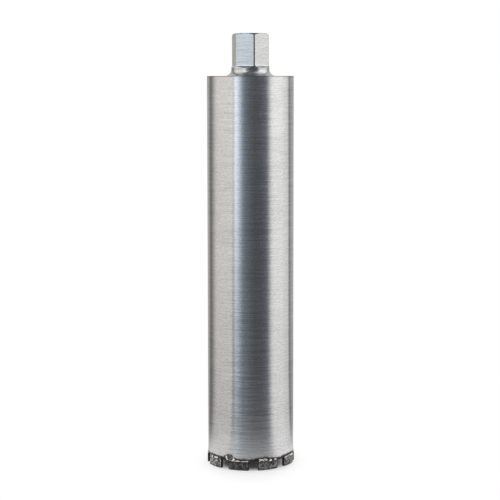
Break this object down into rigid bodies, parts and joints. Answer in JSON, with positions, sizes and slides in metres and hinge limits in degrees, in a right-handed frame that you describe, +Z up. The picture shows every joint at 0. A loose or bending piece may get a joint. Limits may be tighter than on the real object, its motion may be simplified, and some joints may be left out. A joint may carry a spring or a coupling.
{
  "type": "diamond core bit",
  "caption": "Long thin-walled steel core barrel with a crown of brazed diamond segments and a hexagonal, internally threaded drive hub.",
  "frame": {"origin": "on the surface that the bit stands on, at the centre of the crown", "axes": "+Z up the bit's axis towards the drive hub, -Y towards the front"},
  "size_m": [0.108, 0.1079, 0.5297],
  "materials": {
    "brushed_barrel_steel": "fine lines ground round the barrel, with a heat-blackened band at its foot",
    "machined_hub_steel": "turned and milled, clean and bright",
    "weld_steel": "weld metal turned off just under the rim",
    "sintered_segment": "dark sintered metal powder with diamond grit",
    "silver_braze": "pale golden braze metal, partly burnt"
  },
  "bodies": {
    "root": {"barrel_tube": "brushed_barrel_steel", "drive_hub": "machined_hub_steel", "rim_weld": "weld_steel", "segment_1": "sintered_segment", "braze_joint_1": "silver_braze", "segment_2": "sintered_segment", "braze_joint_2": "silver_braze", "segment_3": "sintered_segment", "braze_joint_3": "silver_braze", "segment_4": "sintered_segment", "braze_joint_4": "silver_braze", "segment_5": "sintered_segment", "braze_joint_5": "silver_braze", "segment_6": "sintered_segment", "braze_joint_6": "silver_braze", "segment_7": "sintered_segment", "braze_joint_7": "silver_braze", "segment_8": "sintered_segment", "braze_joint_8": "silver_braze", "segment_9": "sintered_segment", "braze_joint_9": "silver_braze"}
  },
  "joints": []
}
